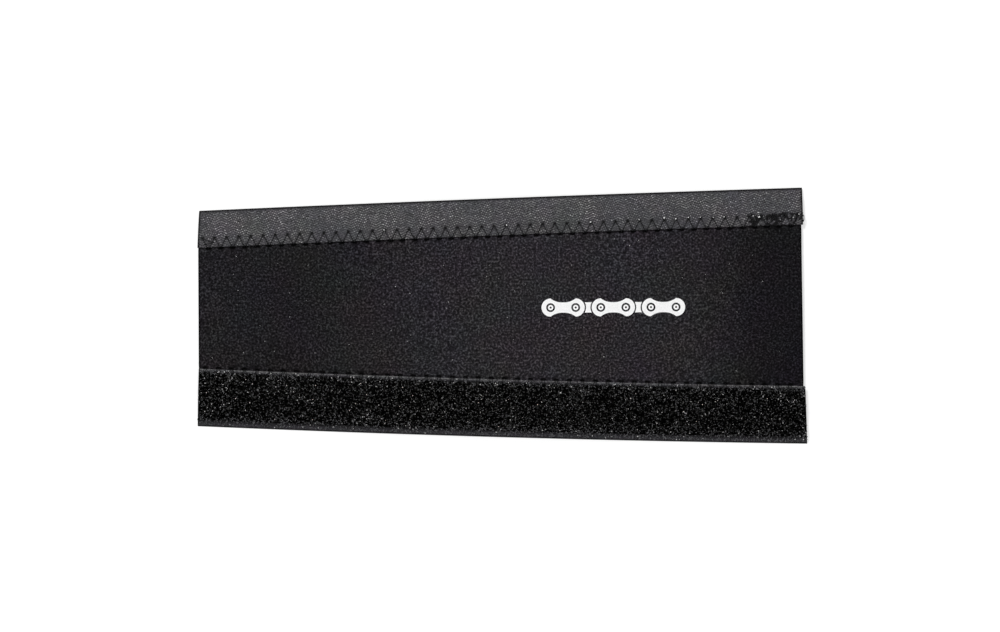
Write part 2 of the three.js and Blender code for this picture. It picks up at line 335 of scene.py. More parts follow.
def lie(x, y):
    """Slow waves of a few hundredths of a millimetre, as a limp sheet has."""
    return 0.05 * np.sin(x / 17 + y / 23) + 0.04 * np.sin(x / 9.1 - y / 13 + 1)


FOAM_COLUMNS = np.array([
    6, 3, 0.9, 0.3, 0, -0.25, -0.5, -0.75, -1, -1.3, -1.7, -2.1, -2.6, -3.2, -4.2, -6, -9,
])
LEAN_REACH = 30  # mm from the middle line within which the cut ends lean


def foam_grids(stations=900, middle_columns=12):
    """Upper and lower grids and the mark: y runs from the loop side's cut edge to the hook side's."""
    along = np.linspace(0, 1, stations)[:, None]
    middle = np.linspace(0, 1, middle_columns + 2)[1:-1]
    x = (along - 0.5) * LENGTH
    levels = [sunk(side, x, FOAM_COLUMNS) for side in (LOOP, HOOK)]
    grids = []
    for face in (0, 1):
        loop = place(LOOP, x, FOAM_COLUMNS, levels[0][face])
        hook = place(HOOK, x, FOAM_COLUMNS, levels[1][face])[:, ::-1]
        between = loop[:, -1:] + (hook[:, :1] - loop[:, -1:]) * middle[:, None]
        grid = np.concatenate([loop, between, hook], 1)
        grid[..., 0] -= FOAM_LEAN * along * np.clip((grid[..., 1] - SHIFT_Y) / LEAN_REACH, -1, 1)
        grids.append(grid)
    loop_marks, hook_marks = (seam_shade_mark(side, x, FOAM_COLUMNS) for side in (LOOP, HOOK))
    plain = np.zeros((stations, middle_columns))
    return *grids, np.concatenate([loop_marks, plain, hook_marks[:, ::-1]], 1)


foam_upper, foam_lower, foam_shade_mark = foam_grids()
foam_x, foam_y = foam_upper[..., 0], foam_upper[..., 1]
from_end = np.minimum(foam_x - foam_x[:1], foam_x[-1:] - foam_x)
END_ROUND, INNER_ROUND = 0.25, 0.1  # how far the two faces are rounded at the cut ends
foam_upper[..., 2] += lie(foam_x, foam_y) - END_ROUND * bell(from_end, 0.4, 1)
foam_lower[..., 2] += INNER_ROUND * bell(from_end, 0.4, 1)
# Shade painted on the knit at the cut ends.
foam_shade_mark = np.maximum(foam_shade_mark, bell(from_end, 0.65, 4))
panel, face_count = plate("panel_knit", foam_upper, foam_lower, foam_upper[..., :2], foam_shade_mark)
cut = np.zeros(len(panel.data.polygons), np.int32)
cut[face_count:] = 1  # the walls show the cut foam, in the second material
panel.data.polygons.foreach_set("material_index", cut)

# %% [markdown]
# ## The woven tapes
# A tape lies level on its margin of foam. Past the foam it bends down like a strip held at one edge, until
# its hooks or its outer edge reach the table. Its back is woven in short floats that run up and down in
# a zigzag, which is relief here as well as colour. The needle thread presses a groove into the tape. Shade
# is painted into the weave along its outer edge and cut ends, at the needle holes and along the thread.

# %% Tape forms
def bent(t):
    """Droop of a strip held at one edge, as a share of its droop at the free edge."""
    return t * t * (3 - t) / 2


def underside(side, v):
    """Level of a tape's underside at v."""
    start = MARGIN + BEND_CLEARANCE

    def share(value):
        return np.maximum(0, (value - start) / (side["tape"] - start))

    return SEAT - side["fall"] * bent(share(v)) / bent(share(side["rest"]))


FLOAT_WAVE, FLOAT_ROW, FLOAT_PITCH = 5.34, 1.05, 0.89
FLOAT_RISE = 1.2  # how far a row of floats climbs in half a wave
FLOAT_ACROSS, FLOAT_ALONG = (1.6, 7.0), (1.9, 4.5)  # top and steepness of a float's two profiles


def floats(u, v):
    """1 on the yarn floats of the weave and 0 between them. Rows follow a triangle wave, and each row
    is broken into dashes that are set half a pitch on from those of the row before."""
    wave = np.abs((u / FLOAT_WAVE) % 1 - 0.5) * 2 * FLOAT_RISE
    row = (v + wave) / FLOAT_ROW
    dash = (u / FLOAT_PITCH + 0.5 * np.floor(row)) % 1
    across = np.clip(FLOAT_ACROSS[0] - np.abs(row % 1 - 0.5) * FLOAT_ACROSS[1], 0, 1)
    return across * np.clip(FLOAT_ALONG[0] - np.abs(dash - 0.5) * FLOAT_ALONG[1], 0, 1)


def along_tape(side, v, stations, inset=0.0):
    """x of a grid between a tape's cut ends, less an inset, and its distance from the nearer end."""
    left, right = tape_ends(side, v)
    x = left + inset + (right - left - 2 * inset) * np.linspace(0, 1, stations)[:, None]
    return x, np.minimum(x - left, right - x)


def towards_y(side, *grids):
    """Grids in the order that a plate wants: on the loop side y falls as v grows, so they are turned."""
    return [grid[:, :: side["sign"]] for grid in grids]


def tape_grids(side, columns, stations, relief, marked):
    """Upper and lower grids of a tape's woven base, its UV in mm and its mark. The long edges of the
    base are rounded, and the cut ends dip as the hot knife leaves them. The mark is shade painted along
    the outer edge and the cut ends, together with what marked gives."""
    v = columns[None, :]
    x, end = along_tape(side, v, stations)
    rounding = 0.18 * bell(np.minimum(v, side["tape"] - v), 0.15, 1) + 0.12 * bell(end, 0.3, 1)
    low = underside(side, v)
    upper = place(side, x, v, low + side["base"] - rounding + relief(x, v))
    lower = place(side, x, v, low + rounding * 0.4)
    # Painted shade along the tape's outer edge and its cut ends.
    outline = bell(np.minimum(side["tape"] - v, end), 0.75, 6)
    pressed = np.clip(np.maximum(outline, marked(x, v)), 0, 1)
    return towards_y(side, upper, lower, joined(x, v), pressed)


# %% Hook tape
TACK = 23.5  # length of the back-tacked patch at the seam's wide end
FLOAT_HEIGHT, GROOVE, CRUSHED = 0.06, 0.1, 0.12


def tacked(x, v):
    """1 in the blots of the back-tacked patch, where several passes of thread crush the tape."""
    ragged = 4.5 + 1.4 * patches(x, 0, 2.4, 4)
    start = HALF - TACK
    patch = smooth_step(start - 1, start + 1, x) * smooth_step(0.4, -0.4, v - ragged)
    return patch * smooth_step(0.42, 0.54, patches(x, v, 0.95, 3))


def hook_relief(x, v):
    """The floats stand proud and are flattened in the stitched zone. The thread presses a groove and the
    needle pulls pits. The two edges stay plain."""
    plain = smooth_step(0.4, 1.1, v) * smooth_step(0.8, 2.0, HOOK["tape"] - v)
    loose = 0.6 + 0.4 * smooth_step(3.6, 5.2, v)
    pits = 0.3 * dimples(HOOK, x, v, ROW_IN_TAPE, 0.6) + 0.3 * dimples(HOOK, x, v, ROW_OFF_TAPE, 1.0)
    groove = GROOVE * under_thread(HOOK, x, v, 0.35)
    return FLOAT_HEIGHT * floats(x, v) * plain * loose - pits - groove - CRUSHED * tacked(x, v)


def hook_marks(x, v):
    """Painted shade, most at the needle holes and a little along the thread, and the tacked patch's
    matted thread.
    """
    holes = 1.7 * dimples(HOOK, x, v, ROW_IN_TAPE, 0.62) + 0.9 * dimples(HOOK, x, v, ROW_OFF_TAPE, 0.9)
    return holes + 0.2 * under_thread(HOOK, x, v, 0.5) + 1.1 * tacked(x, v)


hook_columns = np.concatenate([[0, 0.08, 0.25], np.linspace(0.55, 15.4, 42), [15.65, 15.85, 16.0]])
hook_weave, _ = plate("hook_tape_weave", *tape_grids(HOOK, hook_columns, 800, hook_relief, hook_marks))

# %% Loop tape
def loop_relief(x, v):
    """The base is pressed at the needle holes."""
    return -0.15 * dimples(LOOP, x, v, ROW_IN_TAPE, 0.6) - 0.2 * dimples(LOOP, x, v, ROW_OFF_TAPE, 0.9)


def loop_marks(x, v):
    """Darker where the pile stands on the base, from 1.5 mm inside the inner edge to 3 mm from the outer
    one: its dark fibres lie over the base, and shade under the pile is painted there. A little shade is
    painted along the thread that crosses the inner edge."""
    under_pile = smooth_step(-0.4, 1.5, v) * smooth_step(0.2, 3.0, LOOP["tape"] - v)
    return 0.9 * under_pile + 0.3 * under_thread(LOOP, x, v, 0.3)


loop_columns = np.concatenate([
    [0, 0.1, 0.3, 0.7, 1.2, 1.8], np.linspace(2.6, 23.4, 18), [24.1, 24.5, 24.8],
])
loop_weave, _ = plate("loop_tape_weave", *tape_grids(LOOP, loop_columns, 420, loop_relief, loop_marks))

# %% [markdown]
# ## The hooks
# Nylon hooks stand in lengthwise rows under the hook tape. Under the sewn margin they are crushed into
# the knit, so only the rows past the margin are made. One hook is a path of eight points, a straight stem
# and an arc, and it is copied to its places as one array.

# %% Hooks
HOOK_ROWS, FROM_BEND = 7, 0.6  # rows, and how far the first is past the start of the bend
HOOK_PITCH, HOOK_STAGGER = 1.5, 0.34
HOOK_WIRE, HOOK_LOWEST = 0.085, 0.09  # radius of a hook, and the lowest level of its middle line


def hook_path(radius=0.24, stem=0.76):
    """Eight points of a hook that hangs down: the stem, then an arc of 220 degrees about its centre."""
    turn = np.radians(np.linspace(0, 220, 6))
    arc = joined(radius * (1 - np.cos(turn)), 0, -stem - radius * np.sin(turn))
    return np.concatenate([[[0, 0, 0.1], [0, 0, -stem * 0.55]], arc])


hook_v = np.linspace(MARGIN + BEND_CLEARANCE + FROM_BEND, HOOK["rest"], HOOK_ROWS)
hook_x = np.arange(-HALF + 0.6, HALF - 0.4, HOOK_PITCH)
grid_x, grid_v = (a.ravel() for a in np.meshgrid(hook_x, hook_v, indexing="ij"))
number = len(grid_x)
grid_x = grid_x + np.where(np.arange(number) % 2, HOOK_STAGGER, 0) + rng.normal(0, 0.06, number)
grid_v = grid_v + rng.normal(0, 0.05, number)
facing = np.where(rng.random(number) < 0.5, 1, -1) * rng.normal(1, 0.06, number)
base = place(HOOK, grid_x, grid_v, underside(HOOK, grid_v) + 0.03)
turned = hook_path()[None] * joined(facing, 0, 1)[:, None]
turned[..., 1] = rng.normal(0, 0.25, number)[:, None] * turned[..., 0]
hook_paths = base[:, None] + turned
hook_paths[..., 2] = np.maximum(hook_paths[..., 2], HOOK_LOWEST)
hooks = tubes("hooks", hook_paths, np.array([0, 1, 0]), HOOK_WIRE, 3)
print(number, "hooks, lowest point", round(hook_paths[..., 2].min() - HOOK_WIRE, 3), "mm")

# %% [markdown]
# ## The pile
# The loop tape's face is napped: fine loops stand in every direction, some combed open. A dark mat gives
# A dark mat gives the mass that the eye can't see through, and thousands of thin arches over it give the
# ragged outline. Some arches are painted grey as their sheen and a few near white as glints, which gives
# the sparkle. The pile is full between its shoulders, thin at the selvage and pressed at the seam, where
# many of the sheen-painted fibres fan out over the tape's edge.

# %% Pile
PILE = 1.8  # height of the loops above the woven base
PILE_END = LOOP["tape"] - 1.2
SHOULDER_END, SHOULDER, OUTER_SHOULDER = 5.9, 1.8, 3.4  # v where the inner one ends, and their widths


def pile_height(x, v):
    """Height of the pile above the woven base: pressed down over the sewn margin, rounded up to its full
    height past it, and rounded down to the bare selvage."""
    pressed = 0.5 * smooth_step(0.3, 2.2, v) * (1 - 0.6 * dimples(LOOP, x, v, ROW_IN_TAPE, 1.0))
    risen = np.sqrt(np.clip(1 - ((SHOULDER_END - v) / SHOULDER) ** 2, 0, 1))
    risen = risen * (v > SHOULDER_END - SHOULDER) + (v > SHOULDER_END)
    falling = np.sqrt(np.clip(1 - ((v - PILE_END + OUTER_SHOULDER) / OUTER_SHOULDER) ** 2, 0, 1))
    full = np.clip(risen, 0, 1) * np.where(v > PILE_END - OUTER_SHOULDER, falling, 1)
    return np.maximum(pressed * (v < MARGIN), PILE * full)


def mat_grids(stations=340, columns=44):
    """Upper and lower grids and UV of the dark mat: half to most of the pile's height, at random."""
    v = np.linspace(1.3, PILE_END - 1.7, columns)[None, :]
    x, end = along_tape(LOOP, v, stations, inset=0.2)
    rims = smooth_step(1.2, 2.8, v) * smooth_step(PILE_END - 1.6, PILE_END - 3.2, v)
    tufts = 0.45 + 0.4 * rng.random((stations, columns))
    height = pile_height(x, v) * (1 - bell(end, 0.5, 1)) * rims * tufts + 0.03
    floor = underside(LOOP, v) + LOOP["base"]
    upper, lower = place(LOOP, x, v, floor + height), place(LOOP, x, v, floor - 0.12)
    return towards_y(LOOP, upper, lower, joined(x, v))


pile_mat, _ = plate("pile_mat", *mat_grids())
PILE_BUNDLES, LOOPS_PER_BUNDLE = 3, 4600
SHEEN_FIBRE, DARK_FIBRE, SPARK_MORE = (0.07, 0.11), 0.055, 0.09  # radii
# The sparks are painted glints.
SPARKS = 0.032  # share of the loops that glint


def pile_loops(name, count):
    """Arches of a thin fibre. Each rises from one foot, leans over and comes down at the other: its
    height goes as the sine of the way along it, and its lean as the square of that sine. Fibres painted
    grey as their sheen are thicker and stand higher, and the sparks are painted near white as glints.
    The sheen-painted fibres come in clumps, at the seam and towards the selvage."""
    v = rng.uniform(0.3, PILE_END + 0.5, count)
    left, right = tape_ends(LOOP, v)
    x = rng.uniform(left + 0.1, right - 0.1)
    share = 0.22 + 0.32 * patches(x, v, 1.8, 5) ** 2 + 0.35 * bell(v, 2.2) + 0.4 * smooth_step(17, 21, v)
    # Painted sheen: some black fibres are coloured grey, and the sparks near white as glints.
    light = rng.random(count) < share
    shine = np.where(light, rng.uniform(0.35, 0.85, count), rng.uniform(0, 0.25, count))
    spark = rng.random(count) < SPARKS
    shine[spark] = 1
    t = np.linspace(0, 1, 5)[None, :]
    rise = np.sin(np.pi * t)
    heading = rng.uniform(0, 2 * np.pi, count)
    fanned = rng.random(count) < 0.7 * bell(v, 3)
    heading = np.where(fanned, np.pi / 2 + rng.normal(0, 0.45, count), heading)[:, None]
    span = np.where(spark, 0.35, rng.uniform(0.3, 1.0, count))[:, None]
    lean_way = rng.uniform(0, 2 * np.pi, count)[:, None]
    lean = np.where(spark, 0, rng.uniform(0.2, 0.8, count))[:, None]
    stands = np.where(light, rng.uniform(0.7, 1.02, count), rng.uniform(0.5, 0.95, count))
    height = (pile_height(x, v) * stands + rng.uniform(0.05, 0.2, count))[:, None]
    dx = span * (t - 0.5) * np.cos(heading) + lean * rise**2 * np.cos(lean_way)
    dv = span * (t - 0.5) * np.sin(heading) + lean * rise**2 * np.sin(lean_way)
    all_v = np.clip(v[:, None] + dv, -0.15, LOOP["tape"] - 0.8)
    low, high = tape_ends(LOOP, all_v)
    all_x = np.clip(x[:, None] + dx, low - 0.1, high + 0.25)
    level = underside(LOOP, all_v) + LOOP["base"] + height * rise - 0.05
    paths = place(LOOP, all_x, all_v, level)
    across = joined(np.sin(heading), np.cos(heading), 0)  # y falls as v grows
    radius = (np.where(light, rng.uniform(*SHEEN_FIBRE, count), DARK_FIBRE) + SPARK_MORE * spark)[:, None]
    return tubes(name, paths, across, radius, 3, shine=shine)


pile = [pile_loops(f"pile_loops_{i + 1}", LOOPS_PER_BUNDLE) for i in range(PILE_BUNDLES)]

# %% [markdown]
# ## The sewing threads
# A lockstitch has two threads. The needle thread lies on the tape, dives through each hole and comes
# back up beside itself. The bobbin thread stays underneath and is held in each hole by the needle
# thread's loop. Both are plied, so the tube that draws them has three twisted lobes. At the end of the
# hook seam the machine was run back and forth to lock the stitches, which leaves a dark, matted patch.

# %% Thread path
SUNK_IN = 0.15  # how far a thread's resting level is let into the cloth
DIVE = 0.24  # half width of the curve in which a thread goes down a hole
LAY = 2.6  # length in which the strands turn once


def top_level(side, v):
    """Level on which a needle thread lies: the foam off the tape, then up over the tape's edge."""
    return SEAT - SUNK_IN + (side["base"] + 0.1) * smooth_step(-0.45, 0.3, v)


def sew(name, side, x, v, rest, lock, radius, steps, sides, lift=0.0, spread=0.15):
    """One continuous plied thread through the needle points (x, v) of a side. Each stitch runs straight
    in plan from hole to hole, and its places crowd towards both ends as a cosine does. It lies at
    rest(v), and near a hole it goes to the level lock along a bell curve. Its two legs in a hole stand
    apart by twice spread. Lift bows each stitch up or down by a half sine."""
    t = (0.5 - 0.5 * np.cos(np.linspace(0, np.pi, steps)))[None, :]
    way = np.sign(np.diff(x))[:, None]
    start_x, end_x = x[:-1, None] + spread * way, x[1:, None] - spread * way
    along_x = start_x + (end_x - start_x) * t
    along_v = v[:-1, None] + np.diff(v)[:, None] * t
    run = np.hypot(end_x - start_x, np.diff(v)[:, None])
    lying = rest(along_v) + np.reshape(lift, (-1, 1)) * np.sin(np.pi * t)
    level = lying + (lock - lying) * bell(np.minimum(t, 1 - t) * run, DIVE)
    path = place(side, along_x, along_v, level)
    ahead = path[:, -1] - path[:, 0]
    across = np.repeat(unit(joined(-ahead[:, 1], ahead[:, 0], 0))[:, None], steps, 1)
    turn = across[:-1, -1] + across[1:, 0]
    turn = unit(np.where(np.linalg.norm(turn, axis=-1, keepdims=True) < 0.1, across[1:, 0], turn))
    across[:-1, -1] = turn
    across[1:, 0] = turn
    whole = path.reshape(1, -1, 3)
    return tubes(name, whole, across.reshape(whole.shape), radius, sides, plies=3, lay=LAY)


# %% Needle threads
NEEDLE_LOCK = VALLEY + 0.3


def jittered(side):
    """Needle points with the small wander of a hand-fed seam."""
    x, v, in_tape = needle_points(side)
    return x + rng.normal(0, 0.06, len(x)), v + rng.normal(0, 0.07, len(v)), in_tape


def back_tack(start, end, passes, stitch, reach):
    """Needle points of a seam that is sewn back and forth between start and end, in zigzags whose
    stitch wanders, and which lie across the width given by reach."""
    go = np.linspace(start, end, int(abs(end - start) / stitch))
    x = np.concatenate([go if i % 2 == 0 else go[::-1] for i in range(passes)])
    high = np.arange(len(x)) % 2 == 0
    v = np.where(high, reach[1] - rng.uniform(0, 2.6, len(x)), reach[0] + rng.uniform(0, 2.2, len(x)))
    return np.minimum(x + rng.uniform(-0.45, 0.45, len(x)) * stitch, HALF + 0.7), v


threads = []
for label, side in SIDES.items():
    x, v, in_tape = jittered(side)
    lift = np.where(in_tape[:-1], 0.07, -0.05) + rng.normal(0, 0.02, len(x) - 1)
    threads.append(sew(
        f"{label}_seam_needle", side, x, v, lambda value: top_level(side, value) + 0.1,
        NEEDLE_LOCK, THREAD / 2, steps=24, sides=6, lift=lift,
    ))

# For each: side, start, end, passes, stitch, reach across the tape, and how high the thread piles up.
TACKS = {
    "hook_seam_back_tack": (HOOK, HALF + 0.5, HALF - TACK + 1, 3, 1.9, (0.5, 5.6), 0.1),
    "hook_seam_start": (HOOK, -HALF + 1.4, -HALF + 8, 2, 2.4, (-0.4, 4.6), 0.08),
    "loop_seam_back_tack": (LOOP, HALF + 0.9, HALF - 7, 2, 1.9, (-0.3, 4.8), 0.3),
}
for name, (side, start, end, passes, stitch, reach, pile_up) in TACKS.items():
    x, v = back_tack(start, end, passes, stitch, reach)
    layer = np.arange(len(x) - 1) // (len(x) // passes)
    lift = pile_up + 0.09 * layer + rng.normal(0, 0.05, len(x) - 1)
    threads.append(sew(
        name, side, x, v, lambda value: top_level(side, value) + 0.08,
        NEEDLE_LOCK + 0.5, THREAD / 2, steps=18, sides=6, lift=lift,
    ))

# %% Bobbin threads
for label, side in SIDES.items():
    x, v, _ = needle_points(side)
    threads.append(sew(
        f"{label}_seam_bobbin", side, x, v, lambda value: VALLEY - SUNK_IN + 0 * value,
        VALLEY + 0.05, 0.14, steps=12, sides=5,
    ))

# %% [markdown]
# ## The print
# The face carries a small white print. It is a plain drawing of a length of roller chain, in a film a few
# hundredths thick that follows the knit. An outer link plate is two rings that meet at its middle. Each
# goes from its hole out to the plate's outline, as one profile of four corners carried round the pin.
# The waist of an inner plate shows between two outer ones.

# %% Print
LINK, PLATE_RADIUS, WAIST, HOLE, PIN, PIN_HOLE = 10.8, 3.9, 2.2, 1.9, 1.15, 0.45
PRINT_X, PRINT_Y = 48.0, 4.0  # middle of the print
OUTER_PLATES = 3
GAP = 0.55  # bare cloth between two plates
FILM = 0.05
CORNER = np.arctan2(WAIST, LINK / 2)  # angle from a pin to the end of the waist at the plate's middle


def waist(s):
    """Half the height of a plate between its pins, at a distance s from its middle."""
    return WAIST + (PLATE_RADIUS - WAIST) * np.clip(np.abs(s) / (LINK / 2), 0, 1) ** 2.4


def half_plate(angle):
    """Distance from the pin to the outline of half a plate, at an angle from the plate's middle line.
    Away from the middle it is the radius of the eye. Towards it, the outline follows the waist and then
    the plate's middle, where the other half begins."""
    s = np.linspace(0, LINK / 2, 40)
    x, y = LINK / 2 - s, waist(s)
    towards = np.abs((angle + np.pi) % (2 * np.pi) - np.pi)
    along_waist = np.interp(towards, np.arctan2(y, x), np.hypot(x, y))
    to_middle = LINK / 2 / np.cos(np.minimum(towards, CORNER))
    return np.where(towards < CORNER, to_middle, np.where(towards > np.pi / 2, PLATE_RADIUS, along_waist))


def ring_films(name, centres, turned, outer, inner, points=72):
    """Closed thin rings round centres. A corner is a centre plus outer or inner times a unit vector, at
    the upper or the lower level, and turned is the direction in which each ring's zero angle points."""
    angle = np.linspace(0, 2 * np.pi, points, endpoint=False)
    angle = np.sort(np.append(angle, [CORNER, 2 * np.pi - CORNER]))
    radii = joined(outer(angle), inner, inner, outer(angle))
    flat = radii[..., None] * joined(np.cos(angle), np.sin(angle))[:, None]
    flat = flat[None] * joined(turned, 1)[:, None, None] + centres[:, None, None]
    level = FOAM + lie(flat[..., 0], flat[..., 1]) + np.array([FILM, FILM, -FILM, -FILM])
    corners = np.concatenate([flat, level[..., None]], -1)
    count, n = corners.shape[:2]
    index = np.arange(count * n * 4).reshape(count, n, 4)
    ahead, turn = np.roll(index, -1, axis=1), np.roll(index, -1, axis=2)
    faces = joined(index, turn, np.roll(turn, -1, axis=1), ahead)
    faces = np.where((turned < 0)[:, None, None, None], faces, faces[..., ::-1])
    return new_piece(name, corners.reshape(-1, 3), [faces.reshape(-1, 4)], sharp=CREASE)


middles = PRINT_X + (np.arange(OUTER_PLATES) - (OUTER_PLATES - 1) / 2) * 2 * LINK
centres = joined((middles[:, None] + np.array([-LINK / 2, LINK / 2])).ravel(), PRINT_Y)
to_middle = np.tile([1.0, -1.0], OUTER_PLATES)
prints = [
    ring_films("print_eyes", centres, to_middle, half_plate, HOLE),
    ring_films("print_pins", centres, to_middle, lambda angle: PIN + 0 * angle, PIN_HOLE, 24),
]


def waist_film(name, middle):
    """The waist of an inner plate: y is a share of the waist's height, and x runs between the arcs that
    keep the gap to the round ends of its two neighbours."""
    share = np.linspace(-1, 1, 15)[None, :]
    arc = np.sqrt((PLATE_RADIUS + GAP) ** 2 - (share * WAIST) ** 2) - LINK / 2
    s = arc - 2 * arc * np.linspace(0, 1, 21)[:, None]
    x, y = middle + s, PRINT_Y + share * waist(s)
    upper, lower = (joined(x, y, FOAM + lie(x, y) + step) for step in (FILM, -FILM))
    return plate(name, upper, lower, upper[..., :2])[0]


for i, middle in enumerate((middles[:-1] + middles[1:]) / 2):
    prints.append(waist_film(f"print_waist_{i + 1}", middle))

# %% [markdown]
# ## Lint and thread glints
# A black knit picks up lint: short curled fibres lie on the sheet. White fibres at some needle holes of
# the hook tape are painted glints of the thread, and a few lie in its back-tacked patch.

# %% Lint
# The white fibres at the seam are painted glints of the thread, likelier between these x.
SEAM_GLINT_MORE = (38, 100)  # x between which a stitch is likelier to hold lint


def lint_and_glints(on_foam=90, on_seam=10, on_tack=6):
    """Curled fibres: a straight run plus a half sine of curl. Lint is scattered over the bare foam; at some
    of the needle holes in the hook tape the fibres are painted glints of the thread, and a few more lie in
    its back-tacked patch."""
    x = rng.uniform(-HALF + 3, HALF - 3, on_foam)
    y = rng.uniform(3 - inner_edge(LOOP, x), inner_edge(HOOK, x) - 3) + SHIFT_Y
    holes, _, in_tape = needle_points(HOOK)
    likely = in_tape * (1 + 3 * (holes > SEAM_GLINT_MORE[0]) * (holes < SEAM_GLINT_MORE[1]))
    chosen = holes[rng.choice(len(holes), on_seam, replace=False, p=likely / likely.sum())]
    tack_x = rng.uniform(HALF - TACK, HALF - 1, on_tack)
    spots = np.concatenate([
        joined(x, y, FOAM + lie(x, y) + 0.05),
        place(HOOK, chosen + rng.normal(0, 0.2, on_seam), ROW_IN_TAPE + 0.4, SEAT + 0.75),
        place(HOOK, tack_x, rng.uniform(0.6, 6.4, on_tack), SEAT + 0.85),
    ])
    count = len(spots)
    on_stitch = np.arange(count)[:, None] >= on_foam
    t = np.linspace(0, 1, 5)[None, :]
    way = rng.uniform(0, 2 * np.pi, count)[:, None]
    size = (0.12 + 0.4 * rng.random(count) ** 2)[:, None] + 0.2 * on_stitch
    curl = rng.normal(0, 0.35, count)[:, None] * size
    dx = size * t * np.cos(way) - curl * np.sin(np.pi * t) * np.sin(way)
    dy = size * t * np.sin(way) + curl * np.sin(np.pi * t) * np.cos(way)
    paths = spots[:, None] + joined(dx, dy, 0)
    radius = rng.uniform(0.04, 0.09, count)[:, None] + 0.18 * on_stitch
    return tubes("lint_and_glints", paths, np.array([0, 0, 1]), radius, 4)


specks = lint_and_glints()

# %% [markdown]
# ## Materials
# Every fabric here is near black, so what tells them apart is grain. The knit is matt with a faint mottle,
# the weave is greyer, with its floats painted lighter where they catch the light, the pile is the darkest,
# with sheen and glints painted on some fibres, and the thread has a soft lustre. The mottle is one node
# group that most of them use, each with its own scale.

# %% Node helpers
def linear(screen):
    """A colour seen on a screen, 0 to 255, as the linear values that a shader takes. A number is grey."""
    c = np.broadcast_to(screen, 3) / 255
    return (*(float(v) for v in np.where(c <= 0.04045, c / 12.92, ((c + 0.055) / 1.055) ** 2.4)), 1.0)


def material(name, roughness, specular, sheen=0.0):
    """A material with its node tree and its Principled shader."""
    made = bpy.data.materials.new(name)
    made.use_nodes = True
    shader = made.node_tree.nodes["Principled BSDF"]
    shader.inputs["Roughness"].default_value = roughness
    shader.inputs["Sheen Weight"].default_value = sheen
    shader.inputs["Specular IOR Level"].default_value = specular
    return made, made.node_tree, shader


def node(tree, kind, inputs=None, **settings):
    """A node of a kind. Inputs gives a socket's value or a link to it, by the socket's name or number."""
    made = tree.nodes.new(kind)
    for key, value in settings.items():
        setattr(made, key, value)
    for key, value in (inputs or {}).items():
        if isinstance(value, bpy.types.NodeSocket):
            tree.links.new(value, made.inputs[key])
        else:
            made.inputs[key].default_value = value
    return made


SIGNS = {"+": "ADD", "-": "SUBTRACT", "*": "MULTIPLY", "/": "DIVIDE"}


def maths(tree, value, *steps, clamp=False):
    """Math nodes one after another on a value. Each step is a sign or the name of an operation, followed
    by its second value where it takes one. With clamp, the last result is held between 0 and 1."""
    steps = list(steps)
    while steps:
        inputs, step = {0: value}, steps.pop(0)
        if steps and not isinstance(steps[0], str):
            inputs[1] = steps.pop(0)
        held = clamp and not steps
        made = node(tree, "ShaderNodeMath", inputs, operation=SIGNS.get(step, step), use_clamp=held)
        value = made.outputs[0]
    return value


def ramp(tree, value, stops):
    """A colour ramp on a value: stops are pairs of place and linear colour."""
    made = node(tree, "ShaderNodeValToRGB", {"Fac": value})
    elements = made.color_ramp.elements
    while len(elements) < len(stops):
        elements.new(0.5)
    for element, (where, colour) in zip(elements, stops):
        element.position, element.color = where, colour
    return made.outputs["Color"]


def shades(tree, value, *stops):
    """A ramp between screen colours."""
    return ramp(tree, value, [(where, linear(screen)) for where, screen in stops])


def shares(tree, value, *stops):
    """A ramp between shares of light, as greys to multiply by."""
    return ramp(tree, value, [(where, (share, share, share, 1)) for where, share in stops])


def mix(tree, factor, a, b, kind="MIX"):
    """A colour mix of two sockets or colours."""
    inputs = {0: factor, 6: a, 7: b}
    return node(tree, "ShaderNodeMix", inputs, data_type="RGBA", blend_type=kind).outputs[2]


def mark(tree, name):
    """The value of a mark that a mesh carries."""
    return node(tree, "ShaderNodeAttribute", attribute_name=name).outputs["Fac"]


# %% Mottle group
def mottle_group():
    """Node group: fine grain, slow patches and a faint tint from object coordinates."""
    group = bpy.data.node_groups.new("cloth mottle", "ShaderNodeTree")
    for name in ("Grain Scale", "Patch Scale"):
        group.interface.new_socket(name, in_out="INPUT", socket_type="NodeSocketFloat")
    for name, kind in (("Grain", "Float"), ("Patch", "Float"), ("Tint", "Color")):
        group.interface.new_socket(name, in_out="OUTPUT", socket_type=f"NodeSocket{kind}")
    entry = group.nodes.new("NodeGroupInput").outputs
    leave = group.nodes.new("NodeGroupOutput").inputs
    where = group.nodes.new("ShaderNodeTexCoord").outputs["Object"]
    grain = node(group, "ShaderNodeTexNoise", {
        "Vector": where, "Scale": entry["Grain Scale"], "Detail": 1.5, "Roughness": 0.6})
    patch = node(group, "ShaderNodeTexNoise", {
        "Vector": where, "Scale": entry["Patch Scale"], "Detail": 3.0, "Roughness": 0.55})
    wide = maths(group, grain.outputs["Fac"], "-", 0.5, "*", 3.0, "+", 0.5, clamp=True)
    group.links.new(wide, leave["Grain"])
    group.links.new(patch.outputs["Fac"], leave["Patch"])
    group.links.new(patch.outputs["Color"], leave["Tint"])
    return group


MOTTLE = mottle_group()


def mottle(tree, grain_scale, patch_scale=38.0):
    """The outputs of the mottle group, placed in a material."""
    scales = {"Grain Scale": grain_scale, "Patch Scale": patch_scale}
    return node(tree, "ShaderNodeGroup", scales, node_tree=MOTTLE).outputs


def finish(tree, shader, colour, height, strength, distance):
    """Links a colour and, through a Bump node, a height to the shader."""
    made = node(tree, "ShaderNodeBump", {"Height": height, "Strength": strength, "Distance": distance})
    tree.links.new(made.outputs["Normal"], shader.inputs["Normal"])
    tree.links.new(colour, shader.inputs["Base Color"])


